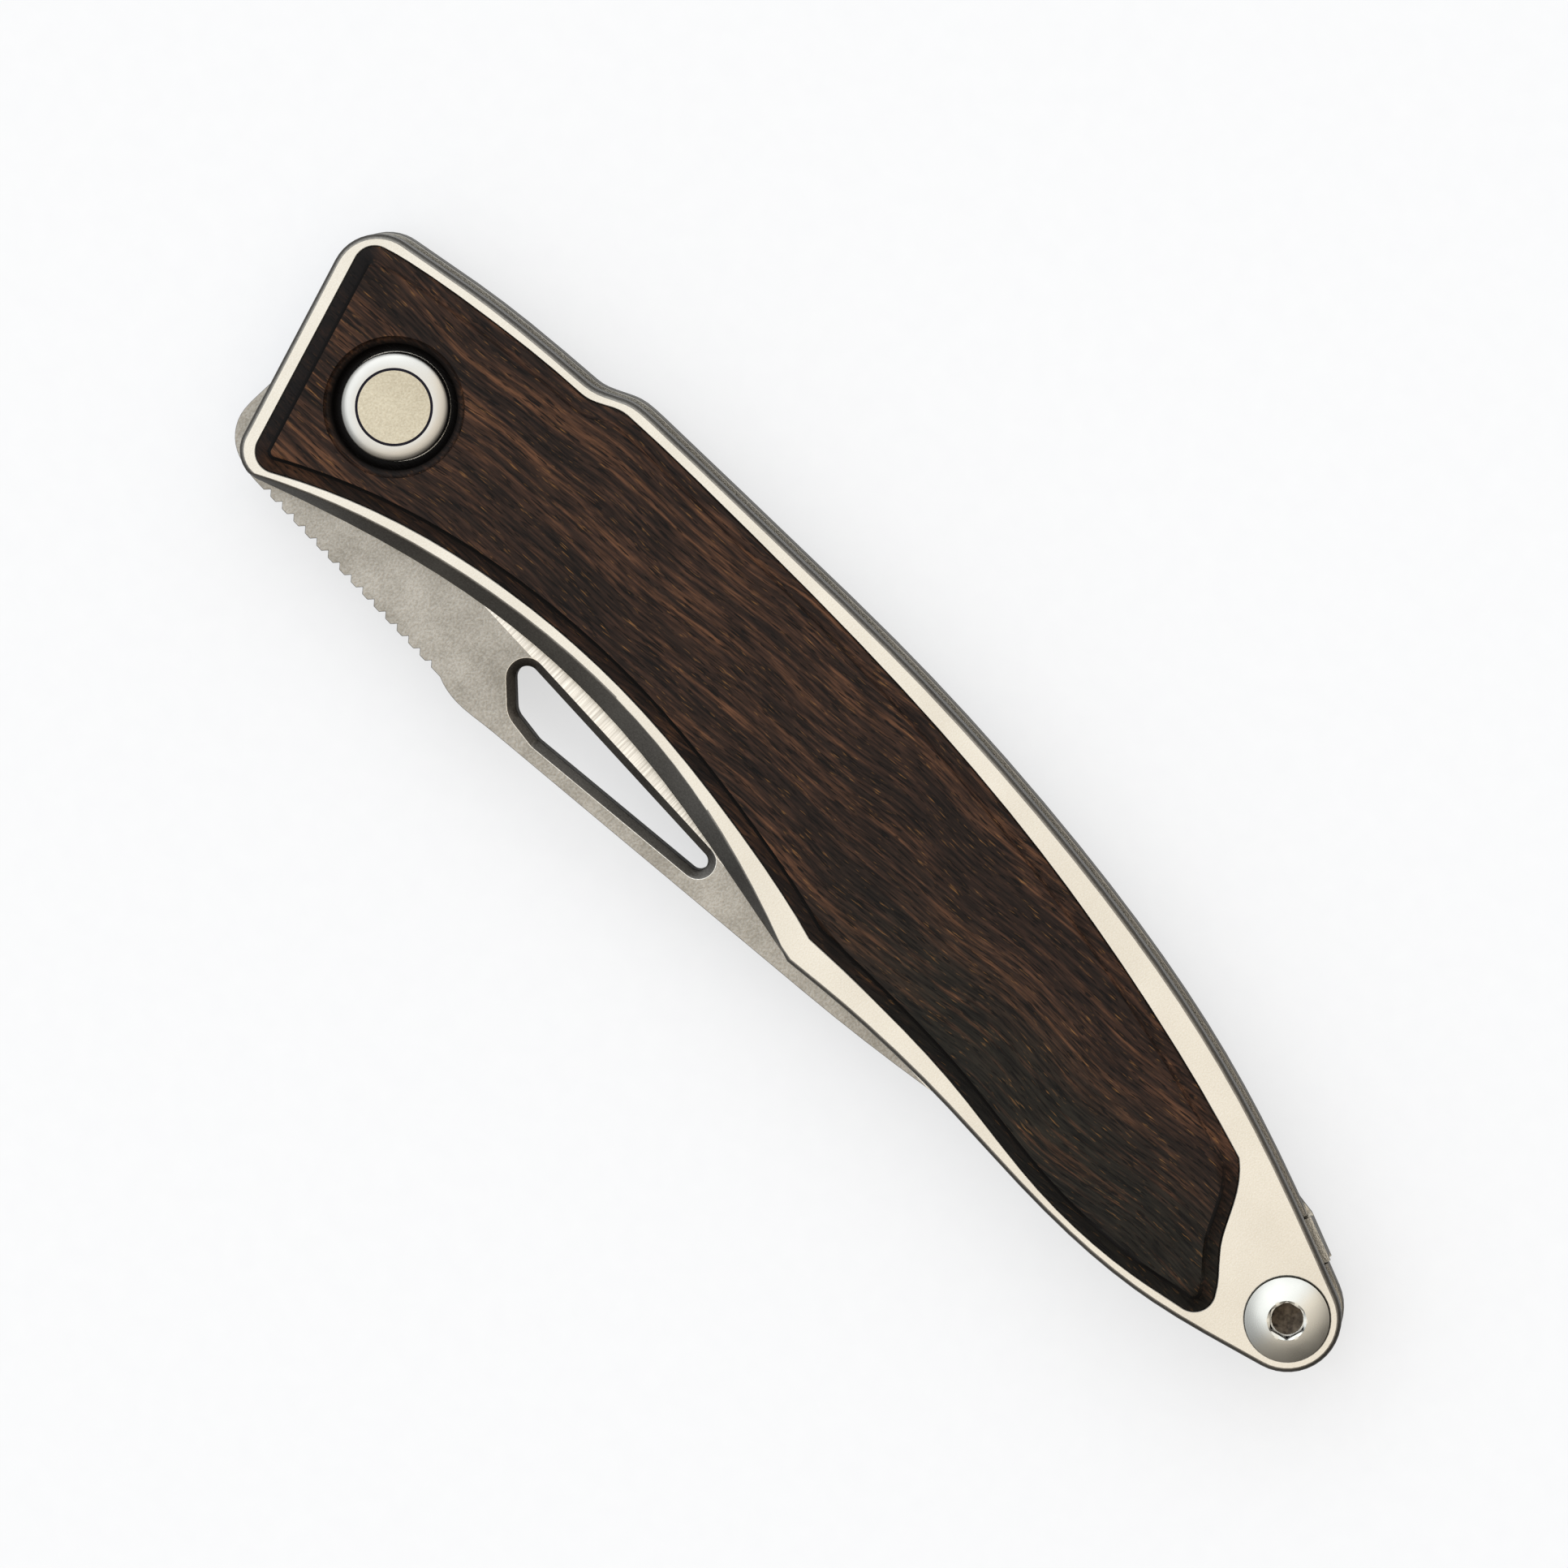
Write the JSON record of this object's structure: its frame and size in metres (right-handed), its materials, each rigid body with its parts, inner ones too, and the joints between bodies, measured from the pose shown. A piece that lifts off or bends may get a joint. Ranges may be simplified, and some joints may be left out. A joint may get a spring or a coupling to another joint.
{
  "type": "folding knife",
  "caption": "Closed frame-lock folding pocket knife with titanium slabs, wood inlays, a hollow-ground blade with a thumb opening, and a pocket clip.",
  "frame": {"origin": "on the blade's pivot axis, in the plane that the knife rests on: the crown of the pivot screw's head on the lock side", "axes": "+X from the pivot to the tail screw along the handle, +Y towards the spine of the handle, +Z out of the show side, where the front inlay is"},
  "size_m": [0.0923, 0.0221, 0.0099],
  "materials": {
    "titanium": "bead-blasted titanium, warm grey",
    "blade_steel": "bead-blasted stainless steel, hollow-ground",
    "dark_wood": "dark close-grained wood, oiled and buffed",
    "screw_steel": "satin stainless steel",
    "hard_steel": "ground hardened steel",
    "bronze": "phosphor bronze sheet"
  },
  "bodies": {
    "handle": {"front_frame": "titanium", "back_frame": "titanium", "front_inlay": "dark_wood", "back_inlay": "dark_wood", "front_washer": "bronze", "back_washer": "bronze", "pivot_bushing": "hard_steel", "pivot_cap": "screw_steel", "pivot_screw": "screw_steel", "stop_pin": "hard_steel", "tail_spacer": "titanium", "tail_screw_front": "screw_steel", "tail_screw_back": "screw_steel", "pocket_clip": "titanium"},
    "blade": {"blade": "blade_steel"},
    "lock": {"lock_bar": "titanium", "detent_ball": "hard_steel"}
  },
  "joints": [
    {"name": "blade_pivot", "type": "hinge", "parent": "handle", "child": "blade", "pos_m": [0, 0, 0.00525], "axis": [0, 0, -1], "range_deg": [0, 180]},
    {"name": "lock_flex", "type": "hinge", "parent": "handle", "child": "lock", "pos_m": [0.04999, -0.003, 0.0035], "axis": [0, 1, 0], "range_deg": [0, 1.45]}
  ],
  "couplings": [
    {"joint": "lock_flex", "follows": "blade_pivot", "ratio": 0.008045}
  ]
}
